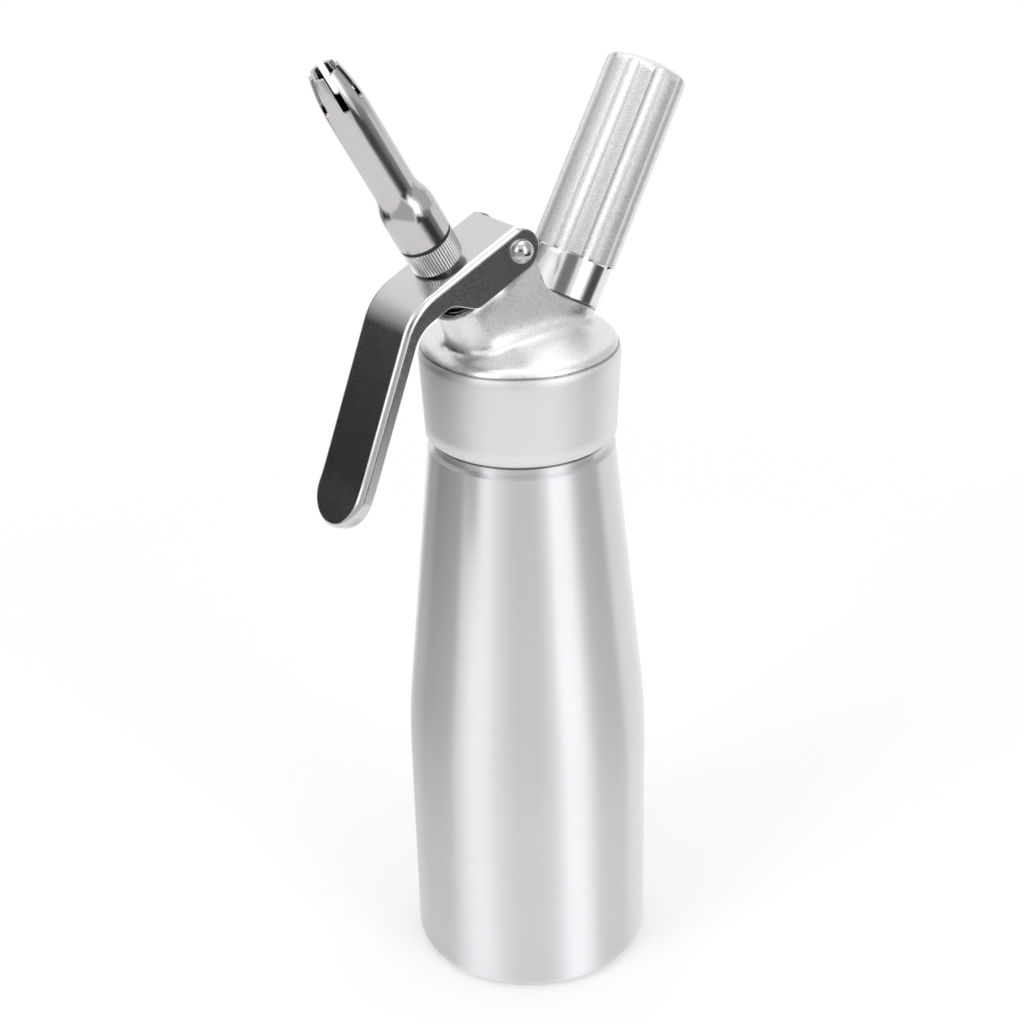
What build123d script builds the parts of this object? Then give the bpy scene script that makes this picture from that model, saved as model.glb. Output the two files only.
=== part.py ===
from build123d import *
from math import atan2, cos, degrees, pi, radians, sin, sqrt, tan
import os

os.makedirs("parts", exist_ok=True)

# Sizes of the bottle, in millimetres
bottle_r = 40.0
bottle_wall = 1.5
bottle_floor = 2.4
base_round = 4.0
taper_z = 89.6
bend_round = 250.0
shoulder_z = 188.5
shoulder_step = 1.5
shoulder_lip = 0.9
band_proud = 0.8
band_h = 5.5
neck_r = 27.6
neck_h = 24.5
neck_wall = 3.6
rim_chamfer = 0.8

# Sizes of the head
skirt_gap = 4.4
thread_gap = 0.3
skirt_wall = 2.45
skirt_flare = 1.3
skirt_h = 26.1
skirt_edge = 0.8
skirt_roll = 6.0
roll_deg = 30.0
crease_deg = 12.0
shoulder_round = 4.0
dome_deg = 22.0
gasket_t = 2.0
gasket_in = 0.3
roof_step = 2.0
roof_in = 3.0
roof_h = 7.0
tilt = 30.0
web_waist = 2.5
web_lap = 1.0
spread_t = 41.0
spread_deg = 8.7
lug_r = 5.5
foot_fillet = 1.6
mouth_edge = 0.4

# Sizes of the lever, about its pin
lever_w = 22.0
sheet = 1.2
cheek_gap = 0.3
pivot_u = 19.73
pivot_t = 48.77
lean = 7.5
plate_up = 7.56
plate_back = 2.0
cheek_r = 6.8
arch_from = 21.0
arch_to = 28.4
arch_round = 5.0
arch_depth = 7.4
bend_at = 41.0
bend_deg = 45.0
bend_r = 19.0
handle_l = 69.5
handle_depth = 5.0
kick_deg = 4.4
kick_r = 80.0
kick_clear = 0.43
lever_edge = 2.0
lever_travel = 9.0
pin_r = 2.5
pin_clear = 0.05
pin_head_r = 3.75
pin_head_h = 1.6

# Sizes of the valve, along the nozzle's axis
nozzle_up = 11.4
mouth_t = 44.4
recess_r = 7.4
pocket_r = 8.6
pocket_h = 15.0
chamber_h = 3.0
bush_r = 6.0
bush_h = 5.0
bush_flange_h = 1.5
bush_flange_gap = 0.2
stem_r = 4.5
stem_clear = 0.05
stem_bore_r = 2.4
stem_tail_r = 3.0
stem_tail = 0.8
cross_r = 1.3
o_ring_r = 0.75
o_ring_sides = 8
o_ring_groove_w = 1.7
o_ring_below = 1.2
seal_r = 7.6
seal_t = 2.6
cap_r = 6.2
cap_h = 3.5
cap_slot_w = 1.2
cap_slot_h = 1.0
cup_r = 6.7
cup_wall = 0.5
cup_h = 5.0
cup_drop = 0.2
wire_d = 1.0
coil_gap = 0.6
coil_turns = 4.5
wire_sides = 6
collar_r = 5.4
push_r = 7.5
push_h = 2.5
push_gap = 0.2
stem_neck_r = 4.4
hole_gap = 0.45

# Sizes of the knurled ring and the decorator tip
ring_gap = 0.5
ring_r = 8.15
ring_h = 8.6
ring_teeth = 56
tooth_h = 0.45
ring_edge = 0.5
stem_grip = 2.8
spigot_r = 6.0
spigot_h = 8.3
tip_seal_t = 1.0
tip_seal_r = 8.2
tip_seal_gap = 0.05
tip_h = 62.2
tip_base_r = 8.35
tip_base_h = 9.8
tip_flare_h = 10.0
tube_r = 6.45
nose_h = 15.9
nose_r = 4.6
tip_wall = 0.95
tip_edge = 0.4
tip_socket_gap = 0.3
tip_socket_deep = 1.0
slot_w = 1.9
slot_h = 11.3
slot_turn = 4.4
slot_pairs = 3

# Sizes of the charger side, along the charger's axis
charger_up = 13.7
charger_boss_t = 31.7
charger_boss_r = 12.8
stub_r = 10.8
stub_h = 8.8
neck_socket_r = 5.0
neck_socket_h = 6.0
insert_r = 4.0
insert_flange_h = 1.5
insert_gap = 0.1
nipple_r = 2.6
nipple_h = 6.0
nipple_bead = 0.4
bead_h = 1.0
gas_r = 0.8
gas_cross_r = 0.6
needle_r = 0.95
needle_bore_r = 0.4
needle_h = 3.7
needle_point = 1.2
needle_seat = 2.5
washer_t = 2.2
washer_hole = 0.35
sleeve_t = 1.2
sleeve_h = 4.8

# Sizes of the charger holder
holder_seam = 0.2
holder_h = 76.8
collar_h = 13.1
collar_out = 0.05
stub_gap = 0.3
stub_room = 0.8
grip_r = 13.5
grip_top_r = 12.9
grip_edge = 0.6
crown_h = 4.4
crown_round = 3.0
charger_r = 9.35
charger_h = 60.5
charger_round = 6.0
flutes = 9
flute_w = 4.6
flute_deep = 0.8
flute_low = 1.75
flute_turn = 5.0

# Heights that follow from the sizes above
band_r = neck_r + band_proud
shoulder_r = band_r + shoulder_step
mouth_r = neck_r - neck_wall
rim_z = shoulder_z + neck_h
skirt_z = shoulder_z + skirt_gap
socket_r = neck_r + thread_gap
skirt_r = socket_r + skirt_wall
skirt_top_z = skirt_z + skirt_h
seat_z = rim_z + gasket_t
roof_z = seat_z + roof_h
roof_r = mouth_r - roof_step

# Frames on the two slanted axes: x lies in the plane of symmetry, y runs out along the axis
lean_x = cos(radians(tilt))
lean_z = sin(radians(tilt))
nozzle_side = Plane(origin=(0, 0, skirt_z + nozzle_up), x_dir=(lean_x, 0, lean_z), z_dir=(0, -1, 0))
nozzle_axis = Axis(nozzle_side.origin, nozzle_side.y_dir)
nozzle_across = Plane(origin=nozzle_side.origin, x_dir=nozzle_side.x_dir, z_dir=nozzle_side.y_dir)
nozzle_front = Plane(origin=nozzle_side.origin, x_dir=(0, 1, 0), z_dir=nozzle_side.x_dir)
charger_side = Plane(origin=(0, 0, skirt_z + charger_up), x_dir=(lean_x, 0, -lean_z), z_dir=(0, -1, 0))
charger_axis = Axis(charger_side.origin, charger_side.y_dir)
charger_across = Plane(origin=charger_side.origin, x_dir=charger_side.x_dir, z_dir=charger_side.y_dir)


def around(plane, angle):
    # Direction square to a slanted axis, turned so far from the plane of symmetry
    return plane.x_dir * cos(radians(angle)) + plane.y_dir * sin(radians(angle))


# Frame of the lever: origin on the pin, x along the plate away from the handle
pivot = nozzle_side.from_local_coords(Vector(pivot_u, pivot_t, 0))
slope = tilt - lean
lever_side = Plane(origin=pivot, x_dir=(cos(radians(slope)), 0, sin(radians(slope))), z_dir=(0, -1, 0))
lever_in = lever_w / 2 - sheet
under_up = plate_up - sheet
boss_r = lever_in - cheek_gap

# Stations along the nozzle's axis
seat_t = (roof_z - nozzle_side.origin.Z) / cos(radians(tilt))
recess_t = seat_t + chamber_h + bush_h
spring_from = recess_t + bush_flange_h
cup_rim = mouth_t - cup_drop
cup_floor = cup_rim - cup_h + cup_wall
spring_to = cup_floor - cup_wall
lean_sin = sin(radians(lean))
lean_cos = cos(radians(lean))
push_t = pivot_t + (under_up + (pivot_u - push_r) * lean_sin) / lean_cos - push_gap
ring_t = pivot_t + (plate_up + (pivot_u + ring_r) * lean_sin) / lean_cos + ring_gap
ring_top = ring_t + ring_h
spigot_top = ring_top + spigot_h
stem_top = ring_top + stem_grip
tip_t = ring_top + tip_seal_t
tip_top = tip_t + tip_h
seal_from = seat_t - seal_t
cap_from = seal_from - cap_h

# How far the valve boss and the web's flanks spread down to the valve's seat
spread_tan = tan(radians(spread_deg))
foot_spread = (spread_t - seat_t) * spread_tan
web_reach = 2 * pivot_t

# Stations along the charger's axis
stub_t = charger_boss_t + stub_h
washer_from = stub_t - neck_socket_h
flange_from = washer_from - insert_flange_h
roof_t = (roof_z - charger_side.origin.Z) / cos(radians(tilt))
shank_from = roof_t - insert_r * tan(radians(tilt))
nipple_from = shank_from - nipple_h
holder_t = charger_boss_t + holder_seam
holder_top = holder_t + holder_h
collar_top = holder_t + collar_h
collar_out_r = charger_boss_r + collar_out
holder_socket_r = stub_r + stub_gap
holder_socket_t = stub_t + stub_room

# Bottle: straight body, wide bend into a long taper, neck band and threaded neck
with BuildPart() as bottle:
    with BuildSketch(Plane.XZ):
        with BuildLine():
            base = Line((0, 0), (bottle_r - base_round, 0))
            corner = JernArc(base @ 1, base % 1, base_round, 90)
            side = FilletPolyline(
                corner @ 1,
                (bottle_r, taper_z),
                (shoulder_r, shoulder_z),
                radius=bend_round,
            )
            Polyline(
                side @ 1,
                (band_r, shoulder_z + shoulder_lip),
                (band_r, shoulder_z + band_h),
                (neck_r, shoulder_z + band_h + band_proud),
                (neck_r, rim_z - rim_chamfer),
                (neck_r - rim_chamfer, rim_z),
                (0, rim_z),
                (0, 0),
            )
        make_face()
    revolve(axis=Axis.Z)
    with BuildSketch(Plane.XZ):
        with BuildLine():
            inner_round = base_round + bottle_floor
            floor_line = Line((0, bottle_floor), (bottle_r - bottle_wall - inner_round, bottle_floor))
            inner_corner = JernArc(floor_line @ 1, floor_line % 1, inner_round, 90)
            inner_side = FilletPolyline(
                inner_corner @ 1,
                (bottle_r - bottle_wall, taper_z),
                (shoulder_r - bottle_wall, shoulder_z - bottle_wall),
                radius=bend_round - bottle_wall,
            )
            Polyline(
                inner_side @ 1,
                (mouth_r, shoulder_z + shoulder_lip),
                (mouth_r, rim_z + rim_chamfer),
                (0, rim_z + rim_chamfer),
                (0, bottle_floor),
            )
        make_face()
    revolve(axis=Axis.Z, mode=Mode.SUBTRACT)
bottle.part.label = "bottle"
export_step(bottle.part, "parts/bottle.step")

# Web of the head with the pivot lug and charger boss: its flanks spread below the lever
mouth_corner = nozzle_side.from_local_coords(Vector(boss_r, mouth_t, 0))
mouth_lap = nozzle_side.from_local_coords(Vector(web_lap, mouth_t, 0))
seat_lap = nozzle_side.from_local_coords(Vector(web_lap, seat_t, 0))
rim_corner = charger_side.from_local_coords(Vector(-charger_boss_r, charger_boss_t, 0))
rim_far = charger_side.from_local_coords(Vector(charger_boss_r, charger_boss_t, 0))
rim_foot = charger_side.from_local_coords(Vector(charger_boss_r, roof_t, 0))
with BuildPart() as web:
    with BuildSketch(Plane.XZ):
        with BuildLine():
            Polyline(
                (pivot.X - lug_r, pivot.Z),
                (mouth_corner.X, mouth_corner.Z),
                (mouth_lap.X, mouth_lap.Z),
                (seat_lap.X, seat_lap.Z),
                (seat_lap.X, rim_foot.Z),
                (rim_foot.X, rim_foot.Z),
                (rim_far.X, rim_far.Z),
                (rim_corner.X, rim_corner.Z),
                (rim_corner.X - web_waist, rim_corner.Z + web_waist),
                (pivot.X + lug_r, pivot.Z),
                close=True,
            )
        make_face()
        with Locations((pivot.X, pivot.Z)):
            Circle(lug_r)
    extrude(amount=2 * charger_boss_r, both=True)
    with BuildSketch(charger_across):
        with BuildLine():
            rim = CenterArc((0, 0), charger_boss_r, -90, 180)
            Polyline(rim @ 1, (-web_reach, charger_boss_r), (-web_reach, -charger_boss_r), rim @ 0)
        make_face()
    extrude(amount=web_reach, both=True, mode=Mode.INTERSECT)
    with BuildSketch(nozzle_front):
        with BuildLine():
            spread_w = boss_r + (spread_t + web_reach) * spread_tan
            Polyline(
                (boss_r, spread_t),
                (boss_r, web_reach),
                (-boss_r, web_reach),
                (-boss_r, spread_t),
                (-spread_w, -web_reach),
                (spread_w, -web_reach),
                close=True,
            )
        make_face()
    extrude(amount=web_reach, both=True, mode=Mode.INTERSECT)

# Head: turned skirt and dome, valve boss, web, stub for the charger holder, and the sockets inside
with BuildPart() as head:
    with BuildSketch(Plane.XZ):
        with BuildLine():
            edge = Polyline((0, skirt_z), (skirt_r - skirt_edge, skirt_z), (skirt_r, skirt_z + skirt_edge))
            skirt = Line(edge @ 1, (skirt_r + skirt_flare, skirt_top_z))
            flare_deg = degrees(atan2(skirt_flare, skirt_h - skirt_edge))
            roll = JernArc(skirt @ 1, skirt % 1, skirt_roll, roll_deg + flare_deg)
            crease = (roll % 1).rotate(Axis.Z, -crease_deg)
            shoulder_deg = 90 - dome_deg - roll_deg + crease_deg
            shoulder = JernArc(roll @ 1, crease, shoulder_round, shoulder_deg)
            dome = JernArc(shoulder @ 1, shoulder % 1, (shoulder @ 1).X / sin(radians(dome_deg)), dome_deg)
            Line(dome @ 1, (0, skirt_z))
        make_face()
    revolve(axis=Axis.Z)
    with BuildSketch(nozzle_across.offset(seat_t)):
        with BuildLine():
            foot = CenterArc((0, 0), boss_r + foot_spread, 90, 180)
            foot_lap = 2 * web_lap + foot_spread
            Polyline(foot @ 1, (foot_lap, -boss_r - foot_spread), (foot_lap, boss_r + foot_spread), foot @ 0)
        make_face()
    extrude(amount=spread_t - seat_t, taper=spread_deg)
    with BuildSketch(nozzle_across.offset(spread_t)):
        with BuildLine():
            mouth = CenterArc((0, 0), boss_r, 90, 180)
            Polyline(mouth @ 1, (2 * web_lap, -boss_r), (2 * web_lap, boss_r), mouth @ 0)
        make_face()
    extrude(amount=mouth_t - spread_t)
    add(web.part)

    # The casting meets the dome in a narrow hollow; the dome's seam and outer edge stay as they are
    dome_edges = head.faces().filter_by(GeomType.SPHERE).edges()
    fillet(dome_edges.sort_by(SortBy.LENGTH)[1:-1], foot_fillet)

    # Bore for the lever's pin
    with BuildSketch(Plane.XZ):
        with Locations((pivot.X, pivot.Z)):
            Circle(pin_r + pin_clear)
    extrude(amount=lever_w, both=True, mode=Mode.SUBTRACT)

    # Stub that the charger holder screws onto
    with BuildSketch(charger_across.offset(charger_boss_t)):
        Circle(stub_r)
    extrude(amount=stub_h)

    # Socket for the bottle's neck, gasket seat and roof
    with BuildSketch(Plane.XZ):
        with BuildLine():
            Polyline(
                (0, skirt_z - skirt_edge),
                (band_r + thread_gap, skirt_z - skirt_edge),
                (band_r + thread_gap, shoulder_z + band_h + thread_gap),
                (socket_r, shoulder_z + band_h + band_proud + thread_gap),
                (socket_r, seat_z),
                (roof_r, seat_z),
                (roof_r - roof_in, roof_z),
                (0, roof_z),
                close=True,
            )
        make_face()
    revolve(axis=Axis.Z, mode=Mode.SUBTRACT)

    # Valve seat, bush bore and spring recess
    with BuildSketch(nozzle_across.offset(seat_t)):
        Circle(pocket_r)
    extrude(amount=-pocket_h, mode=Mode.SUBTRACT)
    with BuildSketch(nozzle_across.offset(seat_t)):
        Circle(bush_r)
    extrude(amount=recess_t - seat_t, mode=Mode.SUBTRACT)
    with BuildSketch(nozzle_across.offset(recess_t)):
        Circle(recess_r)
    extrude(amount=mouth_t - recess_t, mode=Mode.SUBTRACT)

    # Gas inlet: socket for the charger's neck, seat of the insert and its bore
    with BuildSketch(charger_across.offset(flange_from)):
        Circle(neck_socket_r)
    extrude(amount=stub_t - flange_from, mode=Mode.SUBTRACT)
    with BuildSketch(charger_across.offset(nipple_from)):
        Circle(insert_r)
    extrude(amount=flange_from - nipple_from, mode=Mode.SUBTRACT)
head.part.label = "head"
export_step(head.part, "parts/head.step")

# Flat gasket between the bottle's rim and the head
with BuildPart() as head_gasket:
    with BuildSketch(Plane.XY.offset(rim_z)):
        Circle(socket_r - gasket_in)
        Circle(mouth_r - gasket_in, mode=Mode.SUBTRACT)
    extrude(amount=gasket_t)
head_gasket.part.label = "head_gasket"
export_step(head_gasket.part, "parts/head_gasket.step")

# Lever: outline of the side, seen square to the plane of symmetry
bend_sin = sin(radians(bend_deg))
bend_cos = cos(radians(bend_deg))

# The handle kicks out a little just above its round end
end_l = handle_l - lever_w / 2
kick_from = end_l - kick_clear - kick_r * tan(radians(kick_deg / 2))
kick_out = (handle_l + sheet - kick_from) * tan(radians(kick_deg))


def on_handle(along, inward):
    # A point in the lever's side view: so far down the handle, so far in from its outer face
    return (
        -bend_at - along * bend_cos + inward * bend_sin,
        plate_up - along * bend_sin - inward * bend_cos,
    )


arch_up = plate_up - arch_depth
flange_turn = (arch_depth - handle_depth * bend_cos) / bend_sin
back_up = sqrt(cheek_r**2 - plate_back**2)
handle_reach = 2 * (bend_at + handle_l)
handle_out = lever_side.y_dir * bend_cos - lever_side.x_dir * bend_sin
handle_down = lever_side.x_dir * -bend_cos - lever_side.y_dir * bend_sin
bend_corner = lever_side.from_local_coords(Vector(-bend_at, plate_up, 0))
handle_face = Plane(origin=bend_corner, x_dir=handle_down, z_dir=handle_out)
half_bend = radians(bend_deg / 2)
bend_out = lever_side.y_dir * cos(half_bend) - lever_side.x_dir * sin(half_bend)

# Hollow of the pressed channel, open below and at the pin's end
with BuildPart() as lever_hollow:
    with BuildSketch(lever_side):
        with BuildLine():
            FilletPolyline(
                (lever_w, under_up),
                (-bend_at + sheet * tan(half_bend), under_up),
                on_handle(kick_from, sheet),
                on_handle(handle_l + sheet, sheet - kick_out),
                on_handle(handle_l + sheet, handle_l),
                (lever_w, under_up - handle_l),
                radius=[0, bend_r - sheet, kick_r, 0, 0, 0],
                close=True,
            )
        make_face()
    extrude(amount=lever_in, both=True)
    with BuildSketch(handle_face):
        with Locations((end_l - handle_reach / 2, 0)):
            Rectangle(handle_reach, 2 * lever_in)
        with Locations((end_l, 0)):
            Circle(lever_in)
    extrude(amount=handle_reach, both=True, mode=Mode.INTERSECT)
    inner_faces = lever_hollow.faces().filter_by(lambda f: f.normal_at().dot(bend_out) > 0.8)
    inner_edges = inner_faces.edges().filter_by(lambda e: abs(e.center().Y) > 0.1)
    fillet(inner_edges, lever_edge - sheet)

# Lever: pressed channel with plate, bend, round-ended handle, cheeks and arch
with BuildPart() as lever:
    with BuildSketch(lever_side):
        with BuildLine():
            outer = FilletPolyline(
                (plate_back, plate_up),
                (-bend_at, plate_up),
                on_handle(kick_from, 0),
                on_handle(handle_l + sheet, -kick_out),
                on_handle(handle_l + sheet, handle_depth - kick_out),
                on_handle(kick_from, handle_depth),
                on_handle(flange_turn, handle_depth),
                (-arch_to, arch_up),
                (-arch_from, -cheek_r),
                (0, -cheek_r),
                radius=[bend_r, kick_r, 0, 0, kick_r, bend_r - arch_depth, arch_round, arch_round],
            )
            end_arc = ThreePointArc((0, -cheek_r), (cheek_r, 0), (plate_back, back_up))
            Line(end_arc @ 1, outer @ 0)
        make_face()
    extrude(amount=lever_w / 2, both=True)
    with BuildSketch(handle_face):
        with Locations((end_l - handle_reach / 2, 0)):
            Rectangle(handle_reach, lever_w)
        with Locations((end_l, 0)):
            Circle(lever_w / 2)
    extrude(amount=handle_reach, both=True, mode=Mode.INTERSECT)
    outer_faces = lever.faces().filter_by(lambda f: f.normal_at().dot(bend_out) > 0.8)
    outer_edges = outer_faces.edges().filter_by(lambda e: abs(e.center().Y) > 0.1)
    fillet(outer_edges, lever_edge)
    add(lever_hollow.part, mode=Mode.SUBTRACT)
    with BuildSketch(lever_side):
        Circle(pin_r)
    extrude(amount=lever_w, both=True, mode=Mode.SUBTRACT)
    stem_x = -(pivot_u + (plate_up - sheet / 2) * lean_sin) / lean_cos
    swing = (plate_up - stem_x * lean_sin) * sin(radians(lever_travel))
    hole_centre = lever_side.from_local_coords(Vector(stem_x + swing / 2, plate_up, 0))
    with BuildSketch(Plane(origin=hole_centre, x_dir=lever_side.x_dir, z_dir=lever_side.y_dir)):
        hole_w = 2 * (stem_neck_r + hole_gap)
        SlotOverall(hole_w + swing, hole_w)
    extrude(amount=-2 * sheet, mode=Mode.SUBTRACT)
lever.part.label = "lever"
export_step(lever.part, "parts/lever.step")

# Pivot pin, riveted in the cheeks, with domed heads
with BuildPart() as lever_pin:
    with BuildSketch(Plane(origin=pivot, x_dir=(1, 0, 0), z_dir=(0, 0, 1))):
        with BuildLine():
            crown = TangentArc((0, lever_w / 2 + pin_head_h), (pin_head_r, lever_w / 2), tangent=(1, 0))
            Polyline(crown @ 1, (pin_r, lever_w / 2), (pin_r, 0), (0, 0), crown @ 0)
        make_face()
    revolve(axis=Axis(pivot, (0, 1, 0)))
    mirror(about=Plane.XZ)
lever_pin.part.label = "lever_pin"
export_step(lever_pin.part, "parts/lever_pin.step")

# Guide bush of the valve stem, its flange is the spring's seat
with BuildPart() as valve_bush:
    with BuildSketch(nozzle_side):
        with BuildLine():
            Polyline(
                (stem_r + stem_clear, recess_t - bush_h),
                (bush_r, recess_t - bush_h),
                (bush_r, recess_t),
                (recess_r - bush_flange_gap, recess_t),
                (recess_r - bush_flange_gap, spring_from),
                (stem_r + stem_clear, spring_from),
                close=True,
            )
        make_face()
    revolve(axis=nozzle_axis)
valve_bush.part.label = "valve_bush"
export_step(valve_bush.part, "parts/valve_bush.step")

# Hollow valve stem: threaded tail, sliding shank, collar, push flange and threaded neck
groove_t = recess_t - o_ring_below
with BuildPart() as valve_stem:
    with BuildSketch(nozzle_side):
        with BuildLine():
            Polyline(
                (0, cap_from - stem_tail),
                (stem_tail_r, cap_from - stem_tail),
                (stem_tail_r, seat_t),
                (stem_r, seat_t),
                (stem_r, cup_floor),
                (collar_r, cup_floor),
                (collar_r, push_t - push_h),
                (push_r, push_t - push_h),
                (push_r, push_t),
                (stem_neck_r, push_t),
                (stem_neck_r, stem_top),
                (stem_bore_r, stem_top),
                (stem_bore_r, seat_t + chamber_h / 2),
                (0, seat_t + chamber_h / 2),
                close=True,
            )
        make_face()
    revolve(axis=nozzle_axis)
    with BuildSketch(nozzle_side):
        with Locations((stem_r, groove_t)):
            Rectangle(4 * o_ring_r, o_ring_groove_w)
    revolve(axis=nozzle_axis, mode=Mode.SUBTRACT)
    for cross_deg in (0, 90):
        way = around(nozzle_across, cross_deg)
        start = nozzle_side.from_local_coords(Vector(0, seat_t + chamber_h / 2, 0))
        with BuildSketch(Plane(origin=start, x_dir=nozzle_axis.direction, z_dir=way)):
            Circle(cross_r)
        extrude(amount=stem_r + stem_clear, both=True, mode=Mode.SUBTRACT)
valve_stem.part.label = "valve_stem"
export_step(valve_stem.part, "parts/valve_stem.step")

# Ring that seals the stem in its bush
with BuildPart() as stem_o_ring:
    with BuildSketch(nozzle_side):
        with Locations((stem_r - o_ring_r, groove_t)):
            RegularPolygon(o_ring_r, o_ring_sides, major_radius=False, rotation=180 / o_ring_sides)
    revolve(axis=nozzle_axis)
stem_o_ring.part.label = "stem_o_ring"
export_step(stem_o_ring.part, "parts/stem_o_ring.step")

# Rubber disc that shuts the valve
with BuildPart() as valve_seal:
    with BuildSketch(nozzle_across.offset(seal_from)):
        Circle(seal_r)
        Circle(stem_tail_r, mode=Mode.SUBTRACT)
    extrude(amount=seal_t)
valve_seal.part.label = "valve_seal"
export_step(valve_seal.part, "parts/valve_seal.step")

# Slotted cap that holds the disc on the stem's tail
with BuildPart() as valve_cap:
    with BuildSketch(nozzle_across.offset(cap_from)):
        Circle(cap_r)
        Circle(stem_tail_r, mode=Mode.SUBTRACT)
    extrude(amount=cap_h)
    cap_rims = valve_cap.edges().filter_by(GeomType.CIRCLE).sort_by(nozzle_axis)[:2]
    chamfer(cap_rims.sort_by(SortBy.RADIUS)[-1], mouth_edge)
    with BuildSketch(nozzle_across.offset(cap_from)):
        Rectangle(cap_slot_w, 2 * cap_r)
    extrude(amount=cap_slot_h, mode=Mode.SUBTRACT)
valve_cap.part.label = "valve_cap"
export_step(valve_cap.part, "parts/valve_cap.step")

# Thin cup between spring and stem collar, its rim shows in the mouth of the boss
with BuildPart() as spring_cup:
    with BuildSketch(nozzle_side):
        with BuildLine():
            Polyline(
                (stem_r, spring_to),
                (cup_r, spring_to),
                (cup_r, cup_rim),
                (cup_r - cup_wall, cup_rim),
                (cup_r - cup_wall, cup_floor),
                (stem_r, cup_floor),
                close=True,
            )
        make_face()
    revolve(axis=nozzle_axis)
spring_cup.part.label = "spring_cup"
export_step(spring_cup.part, "parts/spring_cup.step")

# Valve spring: one wire, wound as pairs of tangent arcs, a quarter turn to a pair
coil_r = stem_r + coil_gap + wire_d / 2
coil_pitch = (spring_to - spring_from - wire_d) / coil_turns
quarters = round(4 * coil_turns)


def on_coil(turn):
    # Point and direction of the wire after so many turns
    angle = 2 * pi * turn
    along = spring_from + wire_d / 2 + coil_pitch * turn
    place = nozzle_across.from_local_coords(Vector(coil_r * cos(angle), coil_r * sin(angle), along))
    round_dir = nozzle_across.y_dir * cos(angle) - nozzle_across.x_dir * sin(angle)
    heading = round_dir * coil_r + nozzle_across.z_dir * (coil_pitch / (2 * pi))
    return place, heading.normalized()


with BuildPart() as valve_spring:
    with BuildLine() as wire:
        for quarter in range(quarters):
            p0, d0 = on_coil(quarter / 4)
            p1, d1 = on_coil((quarter + 1) / 4)
            gap = p1 - p0
            both = gap.dot(d0 + d1)
            turned = 2 * (1 - d0.dot(d1))
            reach = (sqrt(both**2 + turned * gap.dot(gap)) - both) / turned
            middle = (p0 + p1 + (d0 - d1) * reach) * 0.5
            first = TangentArc(p0, middle, tangent=d0)
            TangentArc(middle, p1, tangent=first % 1)
    with BuildSketch(Plane(origin=wire.line @ 0, z_dir=wire.line % 0)):
        RegularPolygon(wire_d / 2, wire_sides)
    sweep()
valve_spring.part.label = "valve_spring"
export_step(valve_spring.part, "parts/valve_spring.step")
samples = [on_coil(i / 24)[0] for i in range(6 * quarters + 1)]
pairs = [(a, b) for i, a in enumerate(samples) for b in samples[i + 12 :]]
print("valve spring, least gap between turns:", round(min((a - b).length for a, b in pairs) - wire_d, 2))

# Knurled ring with the spigot that the tip screws on
with BuildPart() as nozzle_holder:
    with BuildSketch(nozzle_across.offset(ring_t)):
        with BuildLine():
            step = pi / ring_teeth
            radii = [ring_r - tooth_h * (i % 2) for i in range(2 * ring_teeth)]
            Polyline([(r * cos(i * step), r * sin(i * step)) for i, r in enumerate(radii)], close=True)
        make_face()
    extrude(amount=ring_h)
    with BuildSketch(nozzle_side):
        with BuildLine():
            Polyline(
                (0, ring_t),
                (ring_r - ring_edge, ring_t),
                (ring_r, ring_t + ring_edge),
                (ring_r, ring_top - ring_edge),
                (ring_r - ring_edge, ring_top),
                (0, ring_top),
                close=True,
            )
        make_face()
    revolve(axis=nozzle_axis, mode=Mode.INTERSECT)
    with BuildSketch(nozzle_across.offset(ring_top)):
        Circle(spigot_r)
    extrude(amount=spigot_h)
    with BuildSketch(nozzle_across.offset(ring_t)):
        Circle(stem_neck_r)
    extrude(amount=stem_top - ring_t, mode=Mode.SUBTRACT)
    with BuildSketch(nozzle_across.offset(stem_top)):
        Circle(stem_bore_r)
    extrude(amount=spigot_top - stem_top, mode=Mode.SUBTRACT)
nozzle_holder.part.label = "nozzle_holder"
export_step(nozzle_holder.part, "parts/nozzle_holder.step")

# Black seal ring between knurled ring and tip
with BuildPart() as tip_seal:
    with BuildSketch(nozzle_across.offset(ring_top)):
        Circle(tip_seal_r)
        Circle(spigot_r + tip_seal_gap, mode=Mode.SUBTRACT)
    extrude(amount=tip_seal_t)
tip_seal.part.label = "tip_seal"
export_step(tip_seal.part, "parts/tip_seal.step")

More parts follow.
